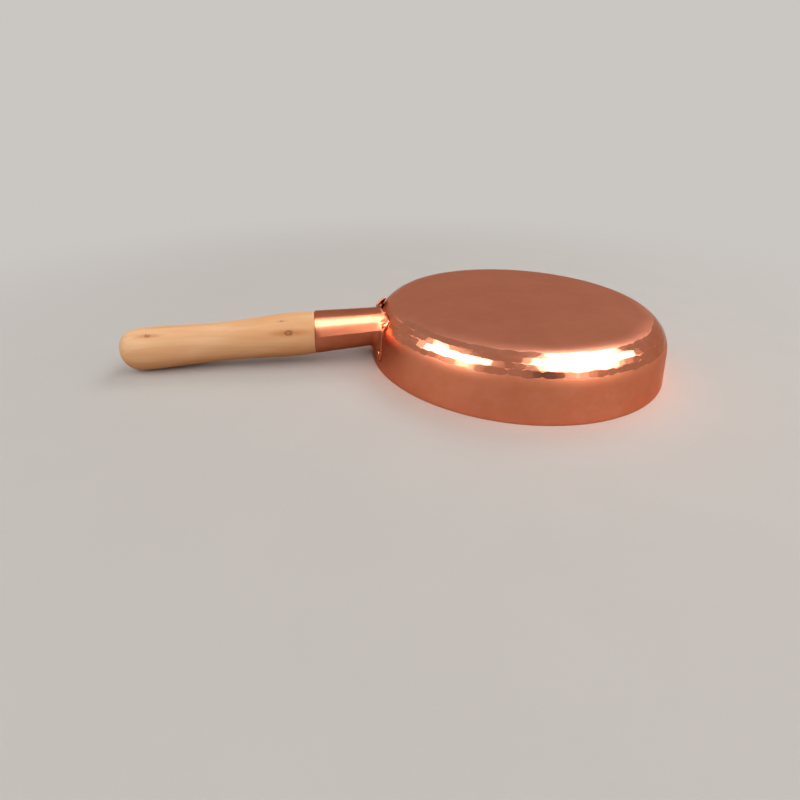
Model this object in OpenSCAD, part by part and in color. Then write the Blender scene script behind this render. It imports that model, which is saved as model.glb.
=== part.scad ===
// Copper frying pan with a riveted socket and a turned wooden handle.
// The pan stands base up on its rim: the rim plane is Z = 0, the pan's own
// axis is Z, and the handle runs out along -X until its bulb meets the table.

/* [Pan] */
// Outside diameter at the rim
rim_d = 240; // [200:2:290]
// Height from the rim plane to the outside of the base
pan_h = 45; // [37:0.5:60]
// Thickness of the pan's copper sheet
sheet_t = 1.8; // [1.2:0.1:2.6]
// Lean of the wall away from upright, in degrees
wall_lean = 9; // [5:0.5:12]
// Outside radius of the corner between wall and base
corner_r = 24.5; // [19:0.5:30]
// Rounding of the rim's outer edge, and bevel of its inner edge
rim_round = 0.5; // [0.2:0.1:0.6]

/* [Hammered band] */
// Hammer marks in one row round the corner
marks_round = 100; // [72:1:120]
// Rows of hammer marks
mark_rows = 4; // [3:1:5]
// Where the band starts on the corner, in degrees up from level
band_from = 26; // [20:1:32]
// Where the band ends on the corner, in degrees up from level
band_to = 66; // [58:1:72]
// Depth of a mark below the smooth corner
mark_sink = 0.12; // [0.08:0.01:0.2]
// Number that sets the scatter of the hand-struck marks
mark_seed = 11; // [1:1:40]

/* [Socket] */
// Thickness of the socket's copper sheet
socket_t = 1.3; // [0.9:0.1:1.8]
// Outside radius of the socket where it meets the wall
socket_r_wall = 14.8; // [12:0.1:15.5]
// Outside radius of the socket where it meets the wood
socket_r_end = 16.4; // [14:0.1:17.5]
// Length of the socket out from the rim's radius
socket_len = 46; // [34:1:60]
// Height by which the lap seam's upper layer stands proud
lap_step = 0.5; // [0.3:0.05:0.7]
// Distance of the upper layer's end from the socket's end
lap_back = 0.8; // [0.4:0.1:1.5]
// Place of the lap seam round the socket, in degrees up from level
lap_angle = 10; // [5:1:30]
// Reach of the flare between socket and flange
flare_r = 4.5; // [3:0.5:6]

/* [Flange] */
// Half width of the flange near the rim
flange_half_low = 26; // [24:0.5:30]
// Width of the flange's near side at its ear
flange_half_near = 20.5; // [20:0.5:26]
// Width of the flange's far side at its ear
flange_half_far = 30; // [25:0.5:31]
// Height of the flange's lower edge above the rim plane
flange_low = 5.5; // [5:0.5:8]
// Distance of the near ear's top below the base
ear_drop_near = 8.5; // [4:0.5:9]
// Distance of the far ear's top below the base
ear_drop_far = 3.5; // [2.5:0.5:7]
// Distance of the edge below the base between the near ear and the socket
dip_drop_near = 5; // [4:0.2:6]
// Distance of the edge below the base between the far ear and the socket
dip_drop_far = 4.5; // [3.5:0.5:6]
// Rounding of the lower corners
low_round = 3.5; // [2:0.5:5]
// Rounding of the ears
ear_round = 5; // [4:0.5:7]
// Least width of the flange round the socket
lip = 0.6; // [0.5:0.1:2]
// Distance to the far side of the place where the edge lifts off most
lift_side = 8; // [0:1:14]
// Width over which the edge lifts off the corner, to either side
lift_half = 26; // [12:1:28]
// Share of the way out to the wall's own line that the edge lifts there
lift_share = 1.15; // [0.5:0.05:1.25]
// Height over which the sheet curls out, from the upper rivets to the edge
lift_rise = 4; // [3:0.5:8]

/* [Rivets] */
// Radius of a rivet's shank
rivet_r = 1.6; // [1.2:0.1:1.9]
// Radius of a rivet's head
rivet_head_r = 2.5; // [2.2:0.1:2.8]
// Height of a rivet's outer head
rivet_head_h = 1.2; // [0.8:0.1:1.6]
// Height of a rivet's flatter inner head
rivet_inner_h = 0.8; // [0.5:0.1:1.2]
// Distance of the lower rivets from the handle's middle plane
rivet_low_side = 21; // [20:0.5:22.5]
// Distance of the upper rivets from the handle's middle plane
rivet_high_side = 18; // [17.5:0.5:20]
// Height of the lower rivets above the flange's lower edge
rivet_low_up = 6; // [4.5:0.5:7]
// Distance of the upper rivets below the pan's base
rivet_high_down = 12; // [11:0.5:15]

/* [Handle] */
// Length of the wood that shows, from the socket to the tip
wood_len = 145; // [110:1:180]
// Radius of the wood at the socket
wood_r_neck = 16.4; // [15.5:0.1:19.5]
// Radius of the swell just past the socket
wood_r_swell = 17; // [16:0.1:20]
// Radius of the waist
wood_r_waist = 14.9; // [12.5:0.1:18]
// Radius of the bulb
wood_r_bulb = 16.3; // [14:0.1:19.5]
// Length of the tenon inside the socket
tenon_len = 34; // [24:1:40]

/* [Pin] */
// Radius of the pin's shank
pin_r = 1; // [0.8:0.1:1.3]
// Radius of the pin's head
pin_head_r = 2.2; // [1.8:0.1:2.6]
// Height of the pin's head
pin_head_h = 0.9; // [0.6:0.1:1.2]
// Length of the pin's shank below its head
pin_len = 12; // [9:0.5:14]
// Distance of the pin from the socket's end
pin_back = 11; // [8:0.5:14]

/* [Hidden] */

// Round surfaces
$fn = 96;
// Run of every cut past the face that it opens
over = 1;
// Gap between the flange and the pan's wall
seat_gap = 0.15;
// Gap between a rivet or pin and its hole
hole_gap = 0.05;
// Gap between the tenon and the socket's bore
tenon_gap = 0.15;
// Gap between the wood's shoulder and the socket's end
shoulder_gap = 0.1;
// Gap between the handle's bulb and the table
table_gap = 0.4;

// Colours
copper = [0.72, 0.40, 0.28];
copper_light = [0.80, 0.50, 0.36];
wood = [0.85, 0.66, 0.47];

// Corner arc: its centre, and where it runs into the wall
rim_r = rim_d / 2;
arc_z = pan_h - corner_r;
arc_r = rim_r - (corner_r + arc_z * sin(wall_lean)) / cos(wall_lean);

// Handle axis: its height at the wall, and its droop to the table
axis_height_share = 0.59;
handle_z = pan_h * axis_height_share;
bulb_share = 0.85;
bulb_at = socket_len + wood_len * bulb_share;
droop = asin((handle_z - table_gap) / norm([bulb_at, wood_r_bulb]))
    - atan(wood_r_bulb / bulb_at);

// Socket taper, as radius gained for each millimetre outward
socket_taper = (socket_r_end - socket_r_wall) / socket_len;

// Radius of the wall's outside at a height, moved out by a gap
function wall_r(z, out = 0) = rim_r - z * tan(wall_lean) + out / cos(wall_lean);

// Height at which the wall runs into the corner
wall_top = arc_z + corner_r * sin(wall_lean);

// Radius of the pan's outside at a height, and how far it leans from upright
function pan_r(z) = z < wall_top ? wall_r(z) : arc_r + sqrt(pow(corner_r, 2) - pow(z - arc_z, 2));
function pan_lean(z) = z < wall_top ? wall_lean : asin((z - arc_z) / corner_r);

// Radius of the socket's outside at a distance along the handle
function socket_r(t) = socket_r_wall + socket_taper * t;

// Region inside the pan, drawn in radius and height, with a bevelled mouth
module inside_region() {
    r = corner_r - sheet_t;
    mouth_r = wall_r(0, -sheet_t) + rim_round;
    reach = 2 * corner_r;
    arc_start = [arc_r + r * cos(wall_lean), arc_z + r * sin(wall_lean)];
    polygon([[0, -over], [mouth_r, -over], [mouth_r, 0], [wall_r(rim_round, -sheet_t), rim_round],
        arc_start, [arc_r, arc_z], [0, arc_z]]);
    translate([0, arc_z]) square([arc_r, r]);
    translate([arc_r, arc_z]) intersection() {
        circle(r);
        polygon([[0, 0], reach * [cos(wall_lean), sin(wall_lean)], [reach, reach], [0, reach]]);
    }
}

// Hammered band. Each mark is a flat struck into the corner. Marks sit at
// half steps round the pan, and odd rows are shifted by one half step.
half_steps = 2 * marks_round;
half_angle = 360 / half_steps;
row_angle = (band_to - band_from) / mark_rows;
// Scatter of a mark's facing, as shares of its steps, and of its depth
side_tilt_share = 0.15;
row_tilt_share = 0.05;
depth_share = 0.15;
scatter = rands(-1, 1, 3 * half_steps * mark_rows, mark_seed);

// Plane of the mark in a row at a half step: its outward normal and the
// distance of the plane from the origin along that normal
function mark_plane(row, step) =
    let (
        at = (step + half_steps) % half_steps,
        pick = 3 * (row * half_steps + at),
        rise = band_from + (row + 0.5) * row_angle,
        turn = at * half_angle,
        depth = mark_sink * (1 + depth_share * scatter[pick]),
        face_rise = rise + row_tilt_share * row_angle * scatter[pick + 1],
        face_turn = turn + side_tilt_share * 2 * half_angle * scatter[pick + 2],
        r = arc_r + (corner_r - depth) * cos(rise),
        centre = [r * cos(turn), r * sin(turn), arc_z + (corner_r - depth) * sin(rise)],
        n = [cos(face_rise) * cos(face_turn), cos(face_rise) * sin(face_turn), sin(face_rise)]
    ) [n, n * centre];

// Point where three planes meet
function meet(a, b, c) =
    (a[1] * cross(b[0], c[0]) + b[1] * cross(c[0], a[0]) + c[1] * cross(a[0], b[0]))
    / (a[0] * cross(b[0], c[0]));

// Corner of the marks between a row and the next at a half step
function mark_corner(row, step) =
    (step - row) % 2 == 0
    ? meet(mark_plane(row, step), mark_plane(row + 1, step - 1), mark_plane(row + 1, step + 1))
    : meet(mark_plane(row + 1, step), mark_plane(row, step - 1), mark_plane(row, step + 1));

// Angle on the corner, up from level, where a mark's plane meets the smooth
// corner at a half step: its upper end for end = 1, its lower for end = -1
function mark_end(row, mark, step, end) =
    let (
        plane = mark_plane(row, mark),
        n = plane[0],
        level = n * [cos(step * half_angle), sin(step * half_angle), 0],
        share = (plane[1] - arc_r * level - arc_z * n[2]) / (corner_r * norm([level, n[2]]))
    ) atan2(n[2], level) + end * acos(min(1, share));

// Border of a row against the smooth corner at a half step: at a mark's own
// middle, or halfway between two marks
function border(row, step, end) =
    (step - row) % 2 == 0
    ? mark_end(row, step, step, end)
    : (mark_end(row, step - 1, step, end) + mark_end(row, step + 1, step, end)) / 2;

// Point of the smooth corner at an angle up from level and a half step
function corner_point(rise, step) =
    let (r = arc_r + corner_r * cos(rise))
    [r * cos(step * half_angle), r * sin(step * half_angle), arc_z + corner_r * sin(rise)];

// One ring of points round the pan at a radius and height
function ring(r, z) = [for (step = [0:half_steps - 1])
    [r * cos(step * half_angle), r * sin(step * half_angle), z]];

// Shares of the way along the smooth stretches below and above the band
low_shares = [0, 0.5];
high_shares = [0.35, 0.7, 1];
edge_steps = 2;

// The pan's outside, filled: the rim's rounded edge, the wall, the corner
// with its hammer marks, and the flat base
module pan_outside() {
    steps = [0:half_steps - 1];
    last = mark_rows - 1;
    edge = [for (i = [0:edge_steps]) let (a = 90 * i / edge_steps)
        [wall_r(rim_round) - rim_round * (1 - sin(a)), rim_round * (1 - cos(a))]];
    rings = concat(
        [for (p = edge) ring(p[0], p[1])],
        [for (v = low_shares) [for (step = steps)
            corner_point(wall_lean + v * (border(0, step, -1) - wall_lean), step)]],
        [[for (step = steps) corner_point(border(0, step, -1), step)]],
        [for (row = [0:last - 1]) [for (step = steps) mark_corner(row, step)]],
        [[for (step = steps) corner_point(border(last, step, 1), step)]],
        [for (v = high_shares) [for (step = steps)
            corner_point(90 + (1 - v) * (border(last, step, 1) - 90), step)]]);
    points = [for (r = rings) each r];
    first_mark = len(edge) + len(low_shares);
    top = len(rings) - 1;
    function at(ring, step) = ring * half_steps + (step + half_steps) % half_steps;
    smooth = [for (r = [0:top - 1]) if (r < first_mark || r > first_mark + last) r];
    bands = [for (r = smooth, step = steps) each [
        [at(r, step), at(r + 1, step), at(r + 1, step + 1)],
        [at(r, step), at(r + 1, step + 1), at(r, step + 1)]]];
    marks = [for (row = [0:last], i = [0:marks_round - 1])
        let (s = 2 * i + row % 2, low = first_mark + row, p = [at(low, s - 1), at(low + 1, s - 1),
            at(low + 1, s), at(low + 1, s + 1), at(low, s + 1), at(low, s)])
        each [for (k = [1:len(p) - 2]) [p[0], p[k], p[k + 1]]]];
    under = [for (step = [0:half_steps - 1]) at(0, step)];
    base = [for (step = [half_steps - 1:-1:0]) at(top, step)];
    polyhedron(points, concat(bands, marks, [under], [base]));
}

// Moves children to the handle's axis: Z runs outward along the handle
// from the rim's radius, and X points up
module on_handle() {
    translate([-rim_r, 0, handle_z]) rotate([0, -90 - droop, 0]) children();
}

// Moves children to a place on the pan's outside, at a height and a distance
// to the near side: Z points squarely out of the wall
module on_wall(side, height) {
    turn = asin(side / pan_r(height));
    rotate([0, 0, turn]) translate([-pan_r(height), 0, height])
        rotate([0, pan_lean(height) - 90, 0]) children();
}

// Places of the rivets as [distance to the near side, height]
rivet_low_z = flange_low + rivet_low_up;
rivet_high_z = pan_h - rivet_high_down;
lower_near = [rivet_low_side, rivet_low_z];
lower_far = [-rivet_low_side, rivet_low_z];
upper_near = [rivet_high_side, rivet_high_z];
upper_far = [-rivet_high_side, rivet_high_z];
rivet_places = [lower_near, lower_far, upper_near, upper_far];

// Distance from the pan's outside to the flange's outside at a place, given
// as [distance to the near side, height]
function flange_out(place, out = 0, rounds = 5) =
    rounds == 0
    ? out
    : let (
        z = place[1],
        lean = pan_lean(z),
        r = flange_r(z + out * sin(lean), -place[0], seat_gap + socket_t)
    ) flange_out(place, (r - pan_r(z)) / cos(lean), rounds - 1);

// Distance from the pan's outside, at a height, to an inner head's seat
function inner_seat(z) =
    let (r = z < wall_top ? wall_r(z, -sheet_t) : corner_r - sheet_t)
    -sheet_t - pow(rivet_head_r, 2) / (2 * r) - hole_gap;

// Holes of all four rivets, with a flat seat for each outer head
module rivet_holes() {
    for (place = rivet_places) on_wall(place[0], place[1]) {
        translate([0, 0, inner_seat(place[1]) - over])
            cylinder(h = flange_out(place) - inner_seat(place[1]) + 2 * over,
                r = rivet_r + hole_gap);
        translate([0, 0, flange_out(place) - hole_gap])
            cylinder(h = rivet_head_h + over, r = rivet_head_r + hole_gap);
    }
}

// The pan: a drawn copper bowl with a hammered corner
module pan_body() {
    color(copper) difference() {
        pan_outside();
        rotate_extrude($fn = half_steps) inside_region();
        rivet_holes();
    }
}

// Radius of a face that lies round the pan at a gap, along wall and corner
function seated_r(z, gap) = z < arc_z + (corner_r + gap) * sin(wall_lean)
    ? wall_r(z, gap)
    : arc_r + sqrt(max(0, pow(corner_r + gap, 2) - pow(z - arc_z, 2)));

// Shares of the edge's lift: at a distance to the far side, and at a height,
// where it starts above the upper rivets' heads
lift_power = 1.3;
function lift(far) = abs(far - lift_side) >= lift_half
    ? 0 : pow(cos(90 * (far - lift_side) / lift_half), lift_power);
function curl(z) = let (v = (z - rivet_high_z - rivet_head_r) / lift_rise)
    v <= 0 ? 0 : v >= 1 ? 1 : v * v * (3 - 2 * v);

// Radius of the flange's face at a height and a distance to the far side:
// seated on the pan, with an edge that curls out beside the socket
function flange_r(z, far, gap) = let (seated = seated_r(z, gap))
    seated + lift_share * lift(far) * curl(z) * (wall_r(z, gap) - seated);

// Distance along the handle of the flange's face, at a place across the
// handle given as [up, to the far side]
function flange_at(p, gap, along = 0, rounds = 5) =
    rounds == 0
    ? along
    : let (
        z = handle_z + p[0] * cos(droop) - along * sin(droop),
        reach = sqrt(pow(flange_r(z, p[1], gap), 2) - pow(p[1], 2))
    ) flange_at(p, gap, (reach - rim_r - p[0] * sin(droop)) / cos(droop), rounds - 1);

// Corners of the flange's outline across the handle, as [up, to the far
// side, rounding]: from the near lower corner round the far side to the near ear
dip_side_share = 0.38;
dip_round_share = 0.5;
crown_round_share = 0.7;
dip_round = ear_round * dip_round_share;
function up(z) = z - handle_z;
flange_corners = [
    [up(flange_low), -flange_half_low, low_round],
    [up(flange_low), flange_half_low, low_round],
    [up(pan_h - ear_drop_far), flange_half_far, ear_round],
    [up(pan_h - dip_drop_far), flange_half_far * dip_side_share, dip_round],
    [socket_r_wall + lip, 0, socket_r_wall * crown_round_share],
    [up(pan_h - dip_drop_near), -flange_half_near * dip_side_share, dip_round],
    [up(pan_h - ear_drop_near), -flange_half_near, ear_round]];

// Points of a rounded corner b between corners a and c
round_steps = 6;
function rounded(a, b, c) =
    let (
        at = [b[0], b[1]],
        u = [a[0] - b[0], a[1] - b[1]] / norm([a[0] - b[0], a[1] - b[1]]),
        v = [c[0] - b[0], c[1] - b[1]] / norm([c[0] - b[0], c[1] - b[1]]),
        half = acos(u * v) / 2,
        centre = at + b[2] / sin(half) * (u + v) / norm(u + v),
        from = at + b[2] / tan(half) * u - centre,
        to = at + b[2] / tan(half) * v - centre,
        sweep = 180 - 2 * half
    ) [for (i = [0:round_steps]) let (s = i / round_steps)
        centre + (sin(sweep * (1 - s)) * from + sin(sweep * s) * to) / sin(sweep)];

flange_outline = let (n = len(flange_corners)) [for (i = [0:n - 1])
    each rounded(flange_corners[(i + n - 1) % n], flange_corners[i], flange_corners[(i + 1) % n])];

// Distance from the handle's axis to the flange's outline in a direction
function flange_reach(a) =
    let (dir = [cos(a), sin(a)], n = len(flange_outline))
    max([for (i = [0:n - 1]) let (
            p = flange_outline[i],
            q = flange_outline[(i + 1) % n],
            turn = cross(dir, q - p),
            share = turn == 0 ? -1 : -cross(dir, p) / turn
        ) share < 0 || share > 1 ? 0 : dir * (p + share * (q - p))]);

// The socket's rolled sheet starts at the lap seam and runs once round.
// Each turn step carries one section of the sheet.
turn_steps = 84;
flare_steps = 4;
flange_steps = 4;
lap_start = lap_angle - 90;
lap_edge_angle = 1;

// Rise of the sheet over a plain cone, after a share of its turn
function lap_rise(turned) = lap_step * (1 - turned);

// Point on a curve that leaves a towards b and reaches c from b
function bend(a, b, c, v) = pow(1 - v, 2) * a + 2 * v * (1 - v) * b + pow(v, 2) * c;

// One face of a section from the flare's start to the flange's edge, as
// [distance from the handle's axis, distance along it]
function flared(a, r, gap, reach, bend_reach) =
    let (
        dir = [cos(a), sin(a)],
        root = [r, flange_at(r * dir, gap)],
        tube_at = root[1] + bend_reach,
        on_tube = [r + socket_taper * tube_at, tube_at],
        flange_from = r + bend_reach,
        on_flange = [flange_from, flange_at(flange_from * dir, gap)],
        flange_step = (reach - flange_from) / flange_steps
    ) concat(
        [for (i = [0:flare_steps]) bend(on_tube, root, on_flange, i / flare_steps)],
        [for (i = [1:flange_steps]) let (out = flange_from + i * flange_step)
            [out, flange_at(out * dir, gap)]]);

// Direction of the section round the handle after a share of its turn
function section_angle(turned) = lap_start + (360 - lap_edge_angle) * turned;

// Share of the flange's width that the flare may take
flare_room_share = 0.8;

// One section of the sheet, as a closed loop of [distance from the handle's
// axis, distance along it]: the outer face from the wood to the flange's
// edge, then the inner face back to the wood
function sheet_section(turned) =
    let (
        a = section_angle(turned),
        rise = lap_rise(turned),
        r_out = socket_r_wall + rise,
        reach = max(flange_reach(a), r_out + lip),
        r_in = socket_r_wall - socket_t,
        bend_out = min(flare_r, (reach - r_out) * flare_room_share),
        lap_end = socket_len - lap_back,
        proud_end = lap_end - lap_step,
        inner = flared(a, r_in, seat_gap, reach, bend_out + socket_t)
    ) concat(
        [[socket_r_end, socket_len], [socket_r(lap_end), lap_end],
            [socket_r(proud_end) + rise, proud_end]],
        flared(a, r_out, seat_gap + socket_t, reach, bend_out),
        [for (k = [len(inner) - 1:-1:0]) inner[k]],
        [[socket_r_end - socket_t, socket_len]]);

// The whole sheet: sections joined round the handle's axis
module socket_sheet() {
    sections = [for (i = [0:turn_steps]) let (turned = i / turn_steps, a = section_angle(turned))
        [for (p = sheet_section(turned)) [p[0] * cos(a), p[0] * sin(a), p[1]]]];
    n = len(sections[0]);
    turns = len(sections);
    points = [for (section = sections) each section];
    function at(turn, k) = (turn % turns) * n + k % n;
    faces = [for (t = [0:turns - 1], k = [0:n - 1]) each [
        [at(t, k), at(t + 1, k + 1), at(t, k + 1)],
        [at(t, k), at(t + 1, k), at(t + 1, k + 1)]]];
    polyhedron(points, faces);
}

// The socket: a rolled copper cone with a lap seam, flared into a flange
module handle_socket() {
    color(copper_light) difference() {
        on_handle() difference() {
            socket_sheet();
            pin_hole();
        }
        rivet_holes();
    }
}

// A rivet: a shank through flange and wall, a domed head outside and a
// flatter peened head inside, turned as one piece
dome_steps = 8;
function dome(h) = [for (i = [0:dome_steps]) let (a = 90 * i / dome_steps)
    [rivet_head_r * cos(a), h * sin(a)]];

module rivet(place) {
    seat = flange_out(place);
    inner = inner_seat(place[1]);
    outer_dome = [for (p = dome(rivet_head_h)) [p[0], seat + p[1]]];
    inner_dome = [for (p = dome(rivet_inner_h)) [p[0], inner - p[1]]];
    profile = concat([[rivet_r, inner], [rivet_r, seat]], outer_dome,
        [for (i = [dome_steps:-1:0]) inner_dome[i]]);
    color(copper_light) on_wall(place[0], place[1]) rotate_extrude() polygon(profile);
}

module rivet_lower_near() { rivet(lower_near); }
module rivet_lower_far() { rivet(lower_far); }
module rivet_upper_near() { rivet(upper_near); }
module rivet_upper_far() { rivet(upper_far); }

// Profile of the wood along its visible length. Swell, waist and bulb are
// the turning points, joined by even waves, and the tip is rounded.
swell_share = 0.08;
waist_share = 0.5;
tip_power = 3;
wave_steps = 7;
tip_steps = 12;
// Rounding of the shoulder, and the tenon's pointed entry, as shares
shoulder_edge_share = 0.05;
tenon_entry_share = 0.04;

// Points of one even wave from one turning point to the next
function wave(from_share, from_r, to_share, to_r) =
    [for (i = [0:wave_steps - 1]) let (v = i / wave_steps, ease = (1 - cos(180 * v)) / 2)
        [from_r + (to_r - from_r) * ease, wood_len * (from_share + (to_share - from_share) * v)]];

function tip_points() =
    [for (i = [0:tip_steps]) let (
        a = 90 * i / tip_steps,
        x = pow(sin(a), 2 / tip_power),
        y = pow(cos(a), 2 / tip_power)
    ) [wood_r_bulb * y, wood_len * (bulb_share + (1 - bulb_share) * x)]];

// The wooden handle: one turned piece, with a tapered tenon in the socket,
// a shoulder at the socket's end and a long grip
module wooden_handle() {
    edge = shoulder_edge_share * wood_r_neck;
    end = tenon_len - shoulder_gap;
    entry = tenon_entry_share * tenon_len;
    tenon = [[0, -end], [tenon_r(-end) - entry, -end], [tenon_r(entry - end), entry - end],
        [tenon_r(shoulder_gap), shoulder_gap]];
    shoulder = [[wood_r_neck - edge, shoulder_gap], [wood_r_neck, shoulder_gap + edge]];
    color(wood) on_handle() difference() {
        translate([0, 0, socket_len]) rotate_extrude() polygon(concat(tenon, shoulder,
            wave(swell_share, wood_r_swell, waist_share, wood_r_waist),
            wave(waist_share, wood_r_waist, bulb_share, wood_r_bulb),
            tip_points()));
        pin_hole();
    }
}

// Radius of the tenon at a distance past the socket's end
function tenon_r(t) = socket_r(socket_len + t) - socket_t - tenon_gap;

// Place of the pin along the handle, and the height of its seat on the far
// side of the socket
pin_at = socket_len - pin_back;
pin_seat = socket_r(pin_at + pin_head_r) + lap_rise((90 - lap_start) / 360) + hole_gap;

// Hole of the pin through the socket's far side and into the tenon
module pin_hole() {
    translate([0, pin_seat - pin_len - hole_gap, pin_at]) rotate([-90, 0, 0])
        cylinder(h = pin_len + over + hole_gap, r = pin_r + hole_gap);
}

// The pin: a round-headed copper nail that holds the tenon, on the side
// away from the viewer
module handle_pin() {
    ball = (pin_head_r * pin_head_r + pin_head_h * pin_head_h) / (2 * pin_head_h);
    point = 2 * pin_r;
    color(copper_light) on_handle() translate([0, pin_seat, pin_at]) rotate([-90, 0, 0]) {
        intersection() {
            translate([0, 0, pin_head_h - ball]) sphere(ball);
            cylinder(h = pin_head_h + over, r = pin_head_r + over);
        }
        translate([0, 0, point - pin_len]) cylinder(h = pin_len - point, r = pin_r);
        translate([0, 0, -pin_len]) cylinder(h = point, r1 = pin_r / 5, r2 = pin_r);
    }
}

pan_body();
handle_socket();
rivet_lower_near();
rivet_lower_far();
rivet_upper_near();
rivet_upper_far();
wooden_handle();
handle_pin();
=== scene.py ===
"""Copper frying pan, base up on a pale floor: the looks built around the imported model."""
import math

import bpy
import numpy as np
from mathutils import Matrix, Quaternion, Vector


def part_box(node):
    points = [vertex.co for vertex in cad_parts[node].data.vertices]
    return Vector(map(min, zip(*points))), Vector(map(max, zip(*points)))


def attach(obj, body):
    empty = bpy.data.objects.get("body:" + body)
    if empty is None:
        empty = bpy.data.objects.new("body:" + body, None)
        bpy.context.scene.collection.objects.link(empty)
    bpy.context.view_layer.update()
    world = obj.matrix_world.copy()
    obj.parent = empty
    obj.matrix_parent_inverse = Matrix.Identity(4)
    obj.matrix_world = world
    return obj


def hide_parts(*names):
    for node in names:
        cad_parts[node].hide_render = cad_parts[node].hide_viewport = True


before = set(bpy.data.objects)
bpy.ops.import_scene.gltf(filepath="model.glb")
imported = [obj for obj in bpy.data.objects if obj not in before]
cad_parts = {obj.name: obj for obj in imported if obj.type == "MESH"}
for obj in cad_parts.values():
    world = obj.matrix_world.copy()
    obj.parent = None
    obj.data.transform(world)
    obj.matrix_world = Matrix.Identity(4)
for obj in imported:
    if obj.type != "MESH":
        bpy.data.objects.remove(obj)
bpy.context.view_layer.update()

# Lengths in this script are millimetres, and MM turns them into metres
MM = 0.001
BODY = "root"
rng = np.random.default_rng(7)


def node_box(name):
    """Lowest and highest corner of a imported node, in millimetres."""
    return [np.array(corner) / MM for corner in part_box(name)]


# The pan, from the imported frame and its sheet's own sizes
RIM_ROUND = 0.5
SHEET_T = 1.8
CORNER_R = 24.5
WALL_LEAN = math.radians(9)
pan_corner = node_box("pan_body")[1]
PAN_H = pan_corner[2]
RIM_R = pan_corner[0] + RIM_ROUND * math.tan(WALL_LEAN)
ARC_Z = PAN_H - CORNER_R
ARC_R = RIM_R - (CORNER_R + ARC_Z * math.sin(WALL_LEAN)) / math.cos(WALL_LEAN)
WALL_TOP = ARC_Z + CORNER_R * math.sin(WALL_LEAN)

# The hammered band: marks in a row, the angles up the corner between which it lies, and its rows
MARKS_ROUND = 100
BAND_FROM, BAND_TO, MARK_ROWS = 26, 66, 4
MARK_STEP = 2 * math.pi / MARKS_ROUND
ROW_ANGLE = (BAND_TO - BAND_FROM) / MARK_ROWS
# A mark's depth, the softness of its edge, and the depth at which a place counts as fully struck
MARK_SINK, MARK_SOFT, MARK_FULL = 0.12, 0.004, 0.03
# How far marks stray: in steps along the row, in degrees up the corner, and as a share of their depth
STRAY_ALONG, STRAY_UP, STRAY_DEPTH = 0.05, 0.5, 0.22
# How far their faces are turned: in steps along the row, and in degrees up the corner
FACE_ALONG, FACE_UP = 0.2, 0.9
# Above the flange the marks fade out: from and to, in degrees from the handle and in degrees up the corner
PLAIN_ALONG, PLAIN_UP = (20, 16), (39, 45)
# Low waves in the wall and the base: heights, turn per millimetre on the base, and its even margin
WALL_WAVE, BASE_WAVE, BASE_WAVE_TURN, BASE_MARGIN = 0.09, 0.05, 0.045, 12
# The dip in the middle of the base
BASE_DIP = 0.02
# The bevel inside the rim: its width and its height
BEVEL_W, BEVEL_H = 0.12, 0.1

# The rivets, and the seats that their heads press into the flange
RIVETS = ["rivet_lower_near", "rivet_lower_far", "rivet_upper_near", "rivet_upper_far"]
RIVET_R, RIVET_HEAD_R, RIVET_HEAD_H, RIVET_INNER_H = 1.6, 2.5, 1.2, 0.8
RIVET_HIGH_Z = PAN_H - 12
# The dip in the middle of a head, and how far its finish is that of a struck place
RIVET_DISH, RIVET_STRUCK = 0.05, 0.7
SEAT_RIM, SEAT_REACH, SEAT_SLOPE = 0.15, 3.5, 0.8
# The small flats that peening leaves on a head: how many, their tilts, how deep they are, and from where
# over the head's foot they start
FLATS, FLAT_TILT, FLAT_DEPTH, FLAT_FROM = 9, (0.12, 0.75), (0.03, 0.1), 0.15

# The socket, one sheet: its thickness, and the outside of its tube at the wall and at its end
SOCKET_T = 1.3
SOCKET_R_WALL, SOCKET_R_END, SOCKET_LEN = 14.8, 16.4, 46
SOCKET_TAPER = (SOCKET_R_END - SOCKET_R_WALL) / SOCKET_LEN
# The lap's step, how far it ends before the socket does, its place, and the angle over which it lies flat
LAP_STEP, LAP_BACK, LAP_ANGLE = 0.5, 0.8, math.radians(7)
LAP_FLAT = math.radians(22)
# Columns of points round the sheet, as shares of a turn: at the lap's edge, between, and under the lap
LAP_SIDE = [0, 0.0006, 0.0016, 0.003]
SHEET_SPAN = 0.006, 0.9945, 300
UNDER_SIDE = [0.9965, 0.998, 0.9985]
# How much is worn off the lap's edge at its first columns
LAP_EDGE = [0.16, 0.07, 0.02]
# The sheet's small rounds at the socket's end (inward, back)
END_IN, END_BACK = 0.25, 0.2
# At the lap's end: two places back from it, and the share of the lap's step at the first
LAP_END_FIRST, LAP_END_LAST, LAP_END_SHARE = 0.12, 0.4, 0.8
# At the flange's edge: how far the outer and inner faces and the edge end short, and the edge's depths
EDGE_ROUND, EDGE_INNER, EDGE_BACK = 0.35, 0.3, 0.08
EDGE_DEPTHS = 0.35, 0.75
# The flare's radius, and the most that it takes up of the flange
FLARE_R, FLARE_SHARE = 4.5, 0.8
# The sheet's gap to the pan and to the tenon, and the least that the flange stands out from the tube
SEAT_GAP = 0.15
LIP = 0.6
# Waves in the flange's hand-cut outline: (height, count round, start)
CUT_WAVES = [(0.12, 9, 1), (0.1, 23, 0)]
# The flange's upper edge lifts off the corner: its middle, half width, share, height and sharpness
LIFT_SIDE, LIFT_HALF, LIFT_SHARE, LIFT_RISE, LIFT_POWER = 8, 26, 1.15, 4, 1.3

# The hand-cut end of the socket: how far it is set back, its slant, and how far along that is felt
END_SET, END_SLANT, END_REACH = 0.5, 0.085, 25

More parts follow.
